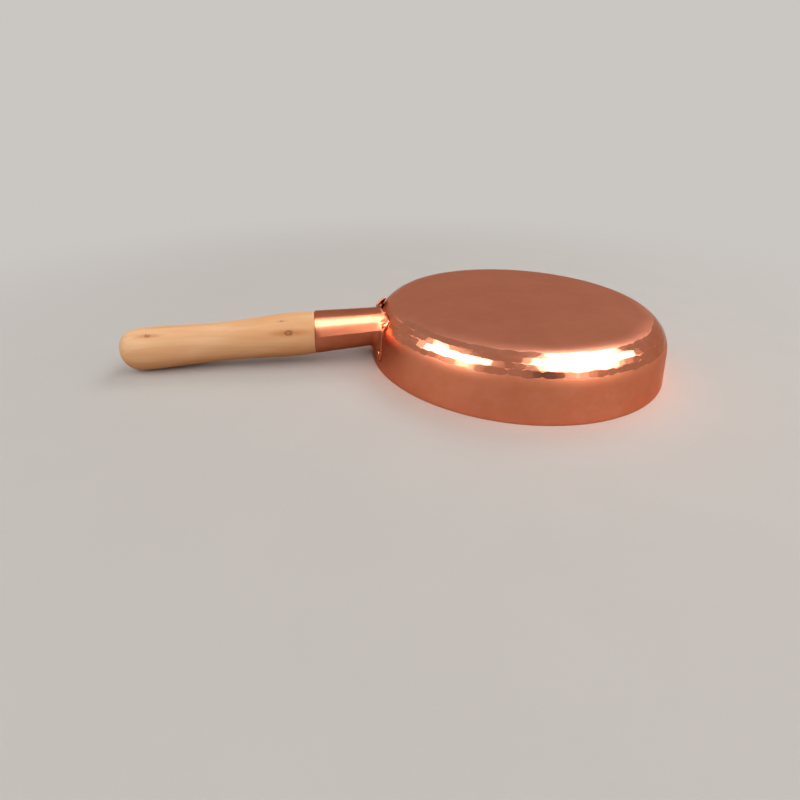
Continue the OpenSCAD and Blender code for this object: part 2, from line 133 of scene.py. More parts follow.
# The wood beyond the socket: its radii, their places as shares of its length, and rows of points from each
WOOD_LEN = 145
WOOD_R = dict(neck=16.4, swell=17, waist=14.9, bulb=16.3)
WOOD_AT = dict(swell=0.08, waist=0.5, bulb=0.85)
WOOD_STEPS = dict(neck=8, swell=22, waist=22)
# The tip's outline is a superellipse, of this power in its angle's sine and cosine
TIP_POWER = 2 / 3
# The tenon: its length, how much of its point is cut off, its bevel (inward, back), and its rows of points
TENON_LEN, TENON_CUT, TENON_BEVEL_IN, TENON_BEVEL_BACK = 34, 0.1, 1.4, 1.5
TENON_SPAN = -28, 0.1, 7
# The neck's round, as (inward, outward) steps
NECK_ROUND = [(1.1, 0.1), (0.45, 0.25), (0.12, 0.6), (0.0, 1.1)]
# The hand-sanded surface, as waves (height, count round, turn per millimetre, start), sunk by their height
SAND_WAVES = [(0.1, 2, 0.021, 0.7), (0.06, 3, -0.045, 0), (0.04, 5, 0.09, 2), (0.03, 9, 0.2, 0)]
SAND_SINK = 0.1
# How far from the neck and from the tip the waves reach their full height
SAND_FADE_NECK, SAND_FADE_TIP = (1, 11), 25
# How far the handle's thick end lies over the table
TABLE_GAP = 0.4

# The handle's axis: its height at the wall and its droop
HANDLE_Z = 0.59 * PAN_H
BULB_AT = SOCKET_LEN + WOOD_LEN * WOOD_AT["bulb"]
DROOP = (math.asin((HANDLE_Z - TABLE_GAP) / math.hypot(BULB_AT, WOOD_R["bulb"]))
         - math.atan(WOOD_R["bulb"] / BULB_AT))


# Meshes

def add_mesh(name, points, faces, attributes=()):
    """Makes an object from points in millimetres. attributes are (name, value at each point)."""
    mesh = bpy.data.meshes.new(name)
    mesh.from_pydata([tuple(p) for p in np.asarray(points) * MM], [], faces)
    for label, values in attributes:
        layer = mesh.attributes.new(label, "FLOAT", "POINT")
        layer.data.foreach_set("value", np.asarray(values, np.float32))
    mesh.shade_smooth()
    mesh.update()
    piece = bpy.data.objects.new(name, mesh)
    bpy.context.scene.collection.objects.link(piece)
    return piece


def circle_grid(radii, heights, turns):
    """Rings round Z: one row of points for each radius and height."""
    radii, heights = np.asarray(radii, float), np.asarray(heights, float)
    x = radii[:, None] * np.cos(turns)
    y = radii[:, None] * np.sin(turns)
    z = np.repeat(heights[:, None], len(turns), 1)
    return np.stack([x, y, z], -1)


def ring_faces(first, second, ratio=1):
    """Faces from one closed ring of point numbers to the next, whose points are ratio times as many."""
    n = len(first)
    found = []
    for i in range(n):
        far = [second[(i * ratio + k) % len(second)] for k in range(ratio + 1)]
        found.append([first[i], first[(i + 1) % n]] + far[::-1])
    return found


def tube_faces(rows, columns):
    """Faces of rows of points round an axis, each row as many points long."""
    return [[k * columns + i, k * columns + (i + 1) % columns,
             (k + 1) * columns + (i + 1) % columns, (k + 1) * columns + i]
            for k in range(rows - 1) for i in range(columns)]


def end_faces(rows, columns, first, last):
    """Fans that close both ends of such rows, to the points numbered first and last."""
    row = (rows - 1) * columns
    return ([[(i + 1) % columns, i, first] for i in range(columns)]
            + [[row + i, row + (i + 1) % columns, last] for i in range(columns)])


def bumpy(turns, along, waves, size, seed):
    """A low, smooth unevenness: waves sine waves of random direction, size millimetres high in all."""
    draw = np.random.default_rng(seed)
    total = np.zeros(np.broadcast(turns, along).shape)
    for _ in range(waves):
        count, slope, start = draw.integers(3, 19), draw.uniform(-0.25, 0.25), draw.uniform(0, 6.3)
        total += np.sin(count * turns + slope * along + start)
    return size * total / waves


# The hammered bowl

def wall_r(z, out=0.0):
    """Radius of the wall's outside at a height, moved out by a distance."""
    return RIM_R - z * math.tan(WALL_LEAN) + out / math.cos(WALL_LEAN)


def outward(turn, rise):
    """Unit vectors away from the pan's axis at a turn round it, tipped up by rise."""
    turn, rise = np.broadcast_arrays(turn, rise)
    return np.stack([np.cos(rise) * np.cos(turn), np.cos(rise) * np.sin(turn), np.sin(rise)], -1)


def bend_middle(turn):
    """The points round which the corner's section is bent."""
    return np.stack([ARC_R * np.cos(turn), ARC_R * np.sin(turn), np.full_like(turn, ARC_Z)], -1)


def bent_rings(degrees, radius, turns):
    """Rings round the corner's bend, at angles up from level."""
    rise = np.radians(degrees)
    return circle_grid(ARC_R + radius * np.cos(rise), ARC_Z + radius * np.sin(rise), turns)


def struck_rows():
    """Rows of hammer marks as planes: (shift, normals, distances)."""
    found = []
    for row in range(MARK_ROWS):
        shift = row % 2 * 0.5
        turn = (np.arange(MARKS_ROUND) + shift + rng.normal(0, STRAY_ALONG, MARKS_ROUND)) * MARK_STEP
        up = np.radians(BAND_FROM + (row + 0.5) * ROW_ANGLE + rng.normal(0, STRAY_UP, MARKS_ROUND))
        depth = MARK_SINK * (1 + rng.uniform(-STRAY_DEPTH, STRAY_DEPTH, MARKS_ROUND))
        centre = bend_middle(turn) + (CORNER_R - depth)[:, None] * outward(turn, up)
        face_turn = turn + rng.uniform(-FACE_ALONG, FACE_ALONG, MARKS_ROUND) * MARK_STEP
        face_up = up + np.radians(rng.uniform(-FACE_UP, FACE_UP, MARKS_ROUND))
        normal = outward(face_turn, face_up)
        found.append((shift, normal, (normal * centre).sum(-1)))
    return found


def ramp(value, start, end):
    """0 up to start, 1 from end on, and even between them."""
    return np.clip((value - start) / (end - start), 0, 1)


def struck_corner(turns, rises):
    """Points of the corner, cut by the marks, with each point's mark tone and how struck it is."""
    turn, rise = np.meshgrid(turns, rises)
    out, middle = outward(turn, rise), bend_middle(turn)
    reaches, tones = [np.full_like(turn, CORNER_R)], [np.zeros_like(turn)]
    for shift, normal, distance in struck_rows():
        tone = rng.uniform(-1, 1, MARKS_ROUND)
        nearest = np.round(turn / MARK_STEP - shift).astype(int)
        for beside in (-1, 0, 1):
            mark = (nearest + beside) % MARKS_ROUND
            n = normal[mark]
            reaches.append((distance[mark] - (n * middle).sum(-1)) / (n * out).sum(-1))
            tones.append(tone[mark])
    reaches, tones = np.stack(reaches), np.stack(tones)
    least = reaches.min(0)
    reach = least - MARK_SOFT * np.log(np.exp(-(reaches - least) / MARK_SOFT).sum(0))
    tone = np.take_along_axis(tones, reaches.argmin(0)[None], 0)[0]
    struck = ramp(CORNER_R - reach, 0, MARK_FULL)
    from_handle = np.abs(np.degrees(turn) - 180)
    plain = ramp(from_handle, *PLAIN_ALONG) * ramp(np.degrees(rise), *PLAIN_UP)
    return middle + reach[..., None] * out, tone, struck * (1 - plain)


def hammered_bowl():
    """The pan's sheet: rounded rim, wall, struck corner, base, and the same again inside."""
    columns, fine = 500, 2
    turns = np.arange(columns) * 2 * math.pi / columns
    fine_turns = np.arange(columns * fine) * 2 * math.pi / (columns * fine)
    band_low, band_high = 18, 74
    rings, tones, strucks = [], [], []

    def add(points, tone=None, struck=None):
        """Adds rings to the bowl."""
        for k, ring in enumerate(points):
            rings.append(ring)
            tones.append(np.zeros(len(ring)) if tone is None else tone[k])
            strucks.append(np.zeros(len(ring)) if struck is None else struck[k])

    edge = np.linspace(0, math.pi / 2, 6)
    edge_r = wall_r(RIM_ROUND) - RIM_ROUND * (1 - np.sin(edge))
    add(circle_grid(edge_r, RIM_ROUND * (1 - np.cos(edge)), turns))
    heights = np.linspace(RIM_ROUND, WALL_TOP, 14)[1:]
    fade = np.sin(np.linspace(0, math.pi, len(heights) + 2))[1:-1]
    wall = circle_grid([wall_r(z) for z in heights], heights, turns)
    wave = bumpy(turns[None, :], wall[..., 2], 7, WALL_WAVE, 3) * fade[:, None]
    add(wall + wave[..., None] * outward(turns, WALL_LEAN))
    add(bent_rings(np.linspace(math.degrees(WALL_LEAN), band_low, 5)[1:-1], CORNER_R, turns))
    band_first = len(rings)
    add(*struck_corner(fine_turns, np.radians(np.arange(band_low, band_high + 1))))
    band_last = len(rings) - 1
    add(bent_rings(np.linspace(band_high, 90, 8)[1:], CORNER_R, turns))
    base_r = ARC_R * (1 - np.linspace(0, 1, 16)[1:-1])
    base = circle_grid(base_r, np.full(len(base_r), PAN_H), turns)
    x, y = base[..., 0] * BASE_WAVE_TURN, base[..., 1] * BASE_WAVE_TURN
    sag = BASE_WAVE * (np.sin(x * 1.3 + 0.6) * np.cos(y * 1.1) + np.sin(x + 1.7 * y))
    base[..., 2] -= np.abs(sag) * np.minimum(1, (ARC_R - base_r) / BASE_MARGIN)[:, None]
    add(base)
    top = len(rings) - 1

    inner_r = CORNER_R - SHEET_T
    add(circle_grid(base_r[::-1], np.full(len(base_r), PAN_H - SHEET_T), turns))
    inner_first = top + 1
    add(bent_rings(np.linspace(90, math.degrees(WALL_LEAN), 13), inner_r, turns))
    inner_top = ARC_Z + inner_r * math.sin(WALL_LEAN)
    heights = np.linspace(inner_top, RIM_ROUND, 9)[1:]
    add(circle_grid([wall_r(z, -SHEET_T) for z in heights], heights, turns))
    mouth = wall_r(0, -SHEET_T) + RIM_ROUND
    add(circle_grid([mouth - BEVEL_W, mouth], [BEVEL_H, 0], turns))

    first = np.cumsum([0] + [len(r) for r in rings])
    numbers = [np.arange(len(r)) + first[k] for k, r in enumerate(rings)]
    faces = []
    for k in range(len(rings) - 1):
        if k == top:
            continue
        if k == band_first - 1:
            faces += ring_faces(numbers[k], numbers[k + 1], fine)
        elif k == band_last:
            faces += [f[::-1] for f in ring_faces(numbers[k + 1], numbers[k], fine)]
        else:
            faces += ring_faces(numbers[k], numbers[k + 1])
    faces += ring_faces(numbers[-1], numbers[0])
    points = np.concatenate(rings)
    middle = len(points)
    points = np.concatenate([points, [[0, 0, PAN_H - BASE_DIP], [0, 0, PAN_H - SHEET_T]]])
    for ring, centre in ((numbers[top], middle), (numbers[inner_first][::-1], middle + 1)):
        faces += [[ring[i], ring[(i + 1) % columns], centre] for i in range(columns)]
    tones, strucks = np.concatenate(tones + [[0, 0]]), np.concatenate(strucks + [[0, 0]])
    bowl = add_mesh("hammered_bowl", points, faces, [("tone", tones), ("struck", strucks)])
    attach(bowl, BODY)
    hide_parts("pan_body")
    return bowl


# Places on the handle: up, to the far side, and outward along its axis

def on_handle(points):
    """Turns [up, far, outward] points into the row frame."""
    up, far, out = np.moveaxis(np.asarray(points, float), -1, 0)
    return np.stack([-RIM_R - up * math.sin(DROOP) - out * math.cos(DROOP), far,
                     HANDLE_Z + up * math.cos(DROOP) - out * math.sin(DROOP)], -1)


def hand_cut(points):
    """Slants the joint between socket and wood, in [up, far, outward] points."""
    share = np.clip(1 - np.abs(points[..., 2] - SOCKET_LEN) / END_REACH, 0, 1)
    points[..., 2] -= share * (END_SET + END_SLANT * points[..., 0])
    return points


def seated_r(z, gap):
    """Radius of a face that lies round the pan at a gap, along wall and corner."""
    corner = ARC_R + np.sqrt(np.maximum(0, (CORNER_R + gap) ** 2 - (z - ARC_Z) ** 2))
    return np.where(z < ARC_Z + (CORNER_R + gap) * math.sin(WALL_LEAN), wall_r(z, gap), corner)


def flange_r(z, far, gap):
    """Radius of the flange's face: seated on the pan, with an edge that curls out beside the socket."""
    seated = seated_r(z, gap)
    beside = np.clip(np.abs(far - LIFT_SIDE) / LIFT_HALF, 0, 1)
    lift = np.cos(math.pi / 2 * beside) ** LIFT_POWER
    rise = np.clip((z - RIVET_HIGH_Z - RIVET_HEAD_R) / LIFT_RISE, 0, 1)
    return seated + LIFT_SHARE * lift * rise ** 2 * (3 - 2 * rise) * (wall_r(z, gap) - seated)


def flange_at(up, far, gap):
    """Distance along the handle of the flange's face, at a place across the handle."""
    along = np.zeros_like(up)
    for _ in range(8):
        z = HANDLE_Z + up * math.cos(DROOP) - along * math.sin(DROOP)
        reach = np.sqrt(flange_r(z, far, gap) ** 2 - far ** 2)
        along = (reach - RIM_R - up * math.sin(DROOP)) / math.cos(DROOP)
    return along


def rounded_corner(a, b, c, radius, steps=10):
    """Points of an arc that rounds corner b between its neighbours."""
    u, v = (a - b) / np.linalg.norm(a - b), (c - b) / np.linalg.norm(c - b)
    half = math.acos(np.clip(u @ v, -1, 1)) / 2
    centre = b + radius / math.sin(half) * (u + v) / np.linalg.norm(u + v)
    start, end = b + radius / math.tan(half) * u - centre, b + radius / math.tan(half) * v - centre
    sweep = math.pi - 2 * half
    return [centre + (math.sin(sweep * (1 - s)) * start + math.sin(sweep * s) * end) / math.sin(sweep)
            for s in np.linspace(0, 1, steps)]


# The flange's cut outline: (height over the rim plane, distance to the far side, rounding)
FLANGE_CUT = [(5.5, -26, 3.5), (5.5, 26, 3.5), (41.5, 30, 5), (40.5, 11.4, 2.5),
              (HANDLE_Z + SOCKET_R_WALL + LIP, 0, 10.4), (40, -7.8, 2.5), (36.5, -20.5, 5)]


def flange_reach(angles):
    """Distance from the handle's axis to the flange's outline, at angles from up to the far side."""
    corners = [np.array([z - HANDLE_Z, far]) for z, far, _ in FLANGE_CUT]
    n = len(corners)
    outline = []
    for i, (_, _, radius) in enumerate(FLANGE_CUT):
        outline += rounded_corner(corners[i - 1], corners[i], corners[(i + 1) % n], radius)
    outline = np.array(outline)
    ahead = np.roll(outline, -1, 0) - outline
    reach = np.zeros(len(angles))
    for k, a in enumerate(angles):
        d = np.array([math.cos(a), math.sin(a)])
        turn = d[0] * ahead[:, 1] - d[1] * ahead[:, 0]
        turn[turn == 0] = 1e-9
        share = -(d[0] * outline[:, 1] - d[1] * outline[:, 0]) / turn
        hit = (share >= 0) & (share <= 1)
        reach[k] = ((outline + share[:, None] * ahead) @ d)[hit].max()
    return reach


def sink_seats(points):
    """Presses the flange's outer face down round the rivets' heads."""
    for node in RIVETS:
        frame_of, centre, _, top = rivet_frame(node)
        local = points @ frame_of.T
        away = np.hypot(local[:, 0] - centre[0], local[:, 1] - centre[1])
        seat = top - RIVET_HEAD_H + SEAT_SLOPE * np.maximum(0, away - RIVET_HEAD_R - SEAT_RIM)
        over = np.where(away < SEAT_REACH, np.clip(local[:, 2] - seat, 0, SOCKET_T), 0)
        points = points - over[:, None] * frame_of[2]
    return points


def cone_r(t):
    """Radius of the socket's outside at a distance along the handle, without its lap."""
    return SOCKET_R_WALL + SOCKET_TAPER * t


def rolled_socket():
    """The socket: one sheet rolled into a cone with a lap seam, flared into the flange."""
    turned = np.concatenate([LAP_SIDE, np.linspace(*SHEET_SPAN), UNDER_SIDE])
    angles = LAP_ANGLE - math.pi / 2 + 2 * math.pi * turned
    dirs = np.stack([np.cos(angles), np.sin(angles)], -1)
    edge_round = np.zeros_like(turned)
    edge_round[:len(LAP_EDGE)] = LAP_EDGE
    unrolled = np.maximum(0, LAP_FLAT - 2 * math.pi * turned)
    rise = LAP_STEP * (1 - turned) - edge_round + SOCKET_R_WALL * (1 / np.cos(unrolled) - 1)
    reach = np.maximum(flange_reach(angles), SOCKET_R_WALL + rise + LIP)
    reach = reach + sum(size * np.sin(count * angles + start) for size, count, start in CUT_WAVES)

    def face(r, gap, bend_reach, flare_steps, flat_steps, short):
        """Flare and flange of one face, from the tube to the edge."""
        root = flange_at(r * dirs[:, 0], r * dirs[:, 1], gap)
        tube_at = root + bend_reach
        on_tube = r + SOCKET_TAPER * tube_at, tube_at
        flat_from = r + bend_reach
        on_flat = flat_from, flange_at(flat_from * dirs[:, 0], flat_from * dirs[:, 1], gap)
        rings = []
        for v in np.linspace(0, 1, flare_steps):
            a, b, c = (1 - v) ** 2, 2 * v * (1 - v), v ** 2
            rings.append((a * on_tube[0] + b * r + c * on_flat[0],
                          a * on_tube[1] + b * root + c * on_flat[1]))
        for v in np.linspace(0, 1, flat_steps)[1:]:
            out = flat_from + (reach - short - flat_from) * v
            rings.append((out, flange_at(out * dirs[:, 0], out * dirs[:, 1], gap)))
        return rings

    r_out, r_in = SOCKET_R_WALL + rise, np.full_like(rise, SOCKET_R_WALL - SOCKET_T)
    bend_out = np.minimum(FLARE_R, (reach - r_out) * FLARE_SHARE)
    lap_end = SOCKET_LEN - LAP_BACK
    lap_first, lap_last = lap_end - LAP_END_FIRST, lap_end - LAP_END_LAST

    def level(radius, t):
        """A ring of the profile at one distance along the handle."""
        return np.broadcast_to(radius, rise.shape), np.full_like(rise, t)

    profile = [level(SOCKET_R_END - END_IN, SOCKET_LEN), level(SOCKET_R_END, SOCKET_LEN - END_BACK),
               level(cone_r(lap_end), lap_end), level(cone_r(lap_first) + rise * LAP_END_SHARE, lap_first),
               level(cone_r(lap_last) + rise, lap_last)]
    outer = face(r_out, SEAT_GAP + SOCKET_T, bend_out, 12, 18, EDGE_ROUND)
    for v in np.linspace(0, 1, 14)[1:-1]:
        t = lap_last * (1 - v) + outer[0][1] * v
        profile.append((cone_r(t) + rise, t))
    profile += outer
    out = reach - EDGE_BACK
    for depth in EDGE_DEPTHS:
        profile.append((out, flange_at(out * dirs[:, 0], out * dirs[:, 1], SEAT_GAP + SOCKET_T - depth)))
    inner = face(r_in, SEAT_GAP, bend_out + SOCKET_T, 8, 6, EDGE_INNER)
    profile += inner[::-1]
    profile.append(level(SOCKET_R_END - SOCKET_T, SOCKET_LEN))

    n = len(profile)
    points = np.stack([np.stack([r * dirs[:, 0], r * dirs[:, 1], z], -1) for r, z in profile])
    turns = len(turned)
    faces = [[k * turns + i, (k + 1) % n * turns + i,
              (k + 1) % n * turns + (i + 1) % turns, k * turns + (i + 1) % turns]
             for k in range(n) for i in range(turns)]
    placed = sink_seats(on_handle(hand_cut(points)).reshape(-1, 3))
    plain = np.zeros(len(placed))
    # Points of the sheet's inner face, which the finish paints near-black copper as painted shade
    inside = np.repeat(np.arange(n) >= n - len(inner), turns)
    stored = [("tone", plain), ("struck", plain), ("inside", inside)]
    socket = add_mesh("rolled_socket", placed, faces, stored)
    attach(socket, BODY)
    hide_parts("handle_socket")
    return socket


# The rivets

def rivet_frame(node):
    """A rivet's own directions, along its third row, its middle across them, and its two ends."""
    middle = sum(node_box(node)) / 2
    z = middle[2]
    turn = math.atan2(middle[1], middle[0])
    lean = WALL_LEAN if z < WALL_TOP else math.asin((z - ARC_Z) / CORNER_R)
    axis = outward(turn, lean)
    side = np.array([math.sin(turn), -math.cos(turn), 0])
    ways = np.array([side, np.cross(side, axis), axis])
    corners = np.array([v.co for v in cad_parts[node].data.vertices]) / MM @ ways.T
    low, high = corners.min(0), corners.max(0)
    return ways, (low + high)[:2] / 2, low[2], high[2]


def peened_rivet(name, node, seed):
    """A rivet with a struck outer head, a shank and a flatter head inside the pan."""
    ways, centre, bottom, top = rivet_frame(node)
    columns = 40
    turns = np.arange(columns) * 2 * math.pi / columns
    rise = np.linspace(0, math.pi / 2, 10)[:-1]
    outer = [(RIVET_HEAD_R * math.cos(a), top - RIVET_HEAD_H * (1 - math.sin(a))) for a in rise]
    inner = [(RIVET_HEAD_R * math.cos(a), bottom + RIVET_INNER_H * (1 - math.sin(a))) for a in rise]
    foot = outer[0][1]
    profile = inner[::-1] + [(RIVET_R, inner[0][1]), (RIVET_R, foot)] + outer
    rings = np.array([[[r * math.cos(t), r * math.sin(t), h] for t in turns] for r, h in profile])
    draw = np.random.default_rng(seed)
    for _ in range(FLATS):
        tilt, spin = draw.uniform(*FLAT_TILT), draw.uniform(0, 2 * math.pi)
        n = np.array([math.sin(tilt) * math.cos(spin), math.sin(tilt) * math.sin(spin), math.cos(tilt)])
        reach = math.hypot(RIVET_HEAD_R * math.sin(tilt), RIVET_HEAD_H * math.cos(tilt))
        reach -= draw.uniform(*FLAT_DEPTH)
        over = np.maximum(0, (rings - [0, 0, foot]) @ n - reach) * (rings[..., 2] > foot + FLAT_FROM)
        rings -= over[..., None] * n
    points = np.concatenate([rings.reshape(-1, 3), [[0, 0, bottom], [0, 0, top - RIVET_DISH]]])
    rows, end = len(profile), len(points)
    faces = tube_faces(rows, columns) + end_faces(rows, columns, end - 2, end - 1)
    placed = (points + [*centre, 0]) @ ways
    zeros = np.zeros(len(placed))
    rivet = add_mesh(name, placed, faces, [("tone", zeros), ("struck", zeros + RIVET_STRUCK)])
    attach(rivet, BODY)
    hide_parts(node)
    return rivet


# The wooden handle

def wood_profile():
    """Radius and place of the turned wood, from the tenon's end to the tip."""
    def tenon_r(t):
        return cone_r(SOCKET_LEN + t) - SOCKET_T - SEAT_GAP

    bevel_at = TENON_BEVEL_BACK - TENON_LEN
    points = [(tenon_r(-TENON_LEN) - TENON_BEVEL_IN, TENON_CUT - TENON_LEN), (tenon_r(bevel_at), bevel_at)]
    points += [(tenon_r(t), t) for t in np.linspace(*TENON_SPAN)]
    points += [(WOOD_R["neck"] - inward, out) for inward, out in NECK_ROUND]
    stops = [("neck", 0.0)] + list(WOOD_AT.items())
    for (from_name, a), (to_name, b) in zip(stops, stops[1:]):
        for v in np.linspace(0, 1, WOOD_STEPS[from_name])[1:]:
            ease = (1 - math.cos(math.pi * v)) / 2
            points.append((WOOD_R[from_name] + (WOOD_R[to_name] - WOOD_R[from_name]) * ease,
                           WOOD_LEN * (a + (b - a) * v)))
    bulb_at = WOOD_AT["bulb"]
    for a in np.linspace(0, math.pi / 2, 26)[1:-1]:
        points.append((WOOD_R["bulb"] * math.cos(a) ** TIP_POWER,
                       WOOD_LEN * (bulb_at + (1 - bulb_at) * math.sin(a) ** TIP_POWER)))
    return np.array(points)


def turned_handle():
    """The wood, with the slight flats and dips of hand sanding."""
    columns = 144
    turns = np.arange(columns) * 2 * math.pi / columns
    profile = wood_profile()
    radius, along = profile[:, :1], profile[:, 1:]
    shown = ramp(along, *SAND_FADE_NECK) * ramp(WOOD_LEN - along, 0, SAND_FADE_TIP)
    hand = sum(size * np.sin(count * turns + slope * along + start)
               for size, count, slope, start in SAND_WAVES)
    radius = radius + shown * (hand - SAND_SINK)
    rings = np.stack([radius * np.cos(turns), radius * np.sin(turns),
                      SOCKET_LEN + np.repeat(along, columns, 1)], -1)
    ends = [[0, 0, SOCKET_LEN + TENON_CUT - TENON_LEN], [0, 0, SOCKET_LEN + WOOD_LEN]]
    points = np.concatenate([rings.reshape(-1, 3), ends])
    rows = len(profile)
    faces = tube_faces(rows, columns) + end_faces(rows, columns, rows * columns, rows * columns + 1)
    handle = add_mesh("turned_handle", on_handle(hand_cut(points)), faces)
    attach(handle, BODY)
    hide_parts("wooden_handle")
    return handle


# Finishes

class Finish:
    """A material's node tree, built one node at a time."""

    def __init__(self, name):
        self.material = bpy.data.materials.new(name)
        self.material.use_nodes = True
        self.tree = self.material.node_tree
        self.shader = self.tree.nodes["Principled BSDF"]
        self.point = self.make("ShaderNodeTexCoord").outputs["Object"]

    def make(self, kind, settings=None, **sockets):
        """Adds a node. Socket names have _ for a space, and a socket's value may be another's output."""
        node = self.tree.nodes.new(kind)
        for key, value in (settings or {}).items():
            setattr(node, key, value)
        for key, value in sockets.items():
            self.feed(node.inputs[key.replace("_", " ")], value)
        return node

    def feed(self, socket, value):
        """Links an output to a socket, or sets the socket's value."""
        if isinstance(value, bpy.types.NodeSocket):
            self.tree.links.new(value, socket)
        else:
            socket.default_value = value

    def sum(self, operation, a, b=0.0, clamp=False):
        """A sum, product or other operation on two numbers."""
        node = self.make("ShaderNodeMath", {"operation": operation, "use_clamp": clamp})
        self.feed(node.inputs[0], a)
        self.feed(node.inputs[1], b)
        return node.outputs[0]

    def vector(self, operation, a, b=None):
        """What a vector operation makes of a and b: a number for LENGTH, or else a vector."""
        node = self.make("ShaderNodeVectorMath", {"operation": operation})
        self.feed(node.inputs[0], a)
        if b is not None:
            self.feed(node.inputs[1], b)
        return node.outputs["Value" if operation == "LENGTH" else "Vector"]

    def place(self, scale=(1, 1, 1), shift=(0, 0, 0), turn=(0, 0, 0)):
        """The object's own coordinates, stretched, shifted and turned."""
        node = self.make("ShaderNodeMapping", Vector=self.point, Scale=scale, Location=shift, Rotation=turn)
        return node.outputs[0]

    def noise(self, size, detail=2.0, roughness=0.5, point=None, distortion=0.0):
        """Noise whose features are about size millimetres."""
        node = self.make("ShaderNodeTexNoise", Vector=point or self.point, Scale=1 / (size * MM),
                         Detail=detail, Roughness=roughness, Distortion=distortion)
        return node.outputs["Fac"]

    def spread(self, value, low, high, to_low=0.0, to_high=1.0):
        """Maps low..high to to_low..to_high, clamped and eased."""
        node = self.make("ShaderNodeMapRange", {"interpolation_type": "SMOOTHSTEP"})
        for socket, number in zip(node.inputs[:5], (value, low, high, to_low, to_high)):
            self.feed(socket, number)
        return node.outputs[0]

    def mix(self, share, a, b):
        """A colour between a and b."""
        node = self.make("ShaderNodeMix", {"data_type": "RGBA"})
        self.feed(node.inputs[0], share)
        self.feed(node.inputs[6], a)
        self.feed(node.inputs[7], b)
        return node.outputs[2]

    def bump(self, height, distance, normal=None, strength=1.0):
        """A bump of distance millimetres."""
        node = self.make("ShaderNodeBump", Height=height, Distance=distance * MM, Strength=strength)
        if normal is not None:
            self.feed(node.inputs["Normal"], normal)
        return node.outputs["Normal"]

    def stored(self, name):
        """A value stored at the mesh's points."""
        return self.make("ShaderNodeAttribute", {"attribute_name": name}).outputs["Fac"]

    def set(self, **sockets):
        """Feeds the shader's sockets."""
        for key, value in sockets.items():
            self.feed(self.shader.inputs[key.replace("_", " ")], value)


COPPER = (0.59, 0.192, 0.10, 1)
COPPER_DEEP = (0.53, 0.158, 0.078, 1)
COPPER_PALE = (0.68, 0.28, 0.175, 1)
COPPER_WORN = (0.53, 0.195, 0.12, 1)
# Near-black copper: painted shade on the socket's inner face, under the flange's ears
COPPER_PAINTED_SHADE = (0.13, 0.052, 0.035, 1)
COPPER_EDGE = (0.84, 0.58, 0.50, 1)
# How much paler patches, struck places and single marks are, and what grain and tarnish add to roughness
PATCH_PALE, STRUCK_PALE, MARK_PALE = 0.16, 0.22, 0.10
GRAIN_ROUGH, TARNISH_ROUGH = 0.10, 0.05
# Sizes in millimetres of tarnish, patches, brushing and dents, and the depths of the last two
TARNISH_SIZE, PATCH_SIZE, GRAIN_SIZE, DENT_SIZE = 38, 9, 0.9, 6.5
GRAIN_DEPTH, DENT_DEPTH = 0.006, 0.02


def copper_finish(name, satin, bright, grain_scale, stretch=0.0, across=None,
                  wear_and_shade=None, wear_and_shade_tint=COPPER_WORN):
    """Bare copper: satin where it is plain, bright where it is struck, with fine brushing and faint tarnish.
    satin and bright are roughnesses, and grain_scale stretches the brushing. stretch draws reflections out
    across the brushing, in the direction that across(f) gives. The last two arguments are a function of f
    that gives how far a place takes a tint, and that tint: a worn tint on the pan's base, and near-black
    copper on the socket's inner face, which is painted shade."""
    f = Finish(name)
    tarnish = f.spread(f.noise(TARNISH_SIZE, 3, 0.6), 0.35, 0.68)
    patch = f.spread(f.noise(PATCH_SIZE, 4, 0.55), 0.4, 0.75)
    tint = f.mix(tarnish, COPPER, COPPER_DEEP)
    if wear_and_shade is not None:
        tint = f.mix(wear_and_shade(f), tint, wear_and_shade_tint)
    tint = f.mix(f.sum("MULTIPLY", patch, PATCH_PALE), tint, COPPER_PALE)
    struck, tone = f.stored("struck"), f.stored("tone")
    by_struck, by_tone = f.sum("MULTIPLY", struck, STRUCK_PALE), f.sum("MULTIPLY", tone, MARK_PALE)
    tint = f.mix(f.sum("ADD", by_struck, by_tone, clamp=True), tint, COPPER_PALE)
    grain = f.noise(GRAIN_SIZE, 3, 0.6, f.place(grain_scale))
    rough = f.spread(struck, 0.0, 1.0, satin, bright)
    rough = f.sum("ADD", rough, f.sum("MULTIPLY", f.sum("SUBTRACT", grain, 0.5), GRAIN_ROUGH))
    rough = f.sum("ADD", rough, f.sum("MULTIPLY", tarnish, TARNISH_ROUGH), clamp=True)
    dents = f.bump(f.noise(DENT_SIZE, 1, 0.4), DENT_DEPTH, f.bump(grain, GRAIN_DEPTH), 0.5)
    f.set(Base_Color=tint, Roughness=rough, Normal=dents, Metallic=1.0, Specular_Tint=COPPER_EDGE)
    if across is not None:
        f.set(Anisotropic=stretch, Tangent=across(f))
    return f.material


def on_base(f):
    """1 on the base and the plain corner round it, and 0 from the middle of the hammered band down."""
    away = f.vector("LENGTH", f.place(scale=(1, 1, 0)))
    angles = BAND_TO, (BAND_FROM + BAND_TO) / 2
    inner, outer = (ARC_R + CORNER_R * math.cos(math.radians(a)) for a in angles)
    return f.spread(away, inner * MM, outer * MM, 1.0, 0.0)


def across_rings(f):
    """Direction across the brushing: away from the pan's axis on its side, along the handle on its base."""
    both = f.make("ShaderNodeMix", {"data_type": "VECTOR"})
    f.feed(both.inputs[0], on_base(f))
    f.feed(both.inputs[4], f.vector("NORMALIZE", f.place(scale=(1, 1, 0))))
    f.feed(both.inputs[5], (1.0, 0.0, 0.0))
    return both.outputs[1]


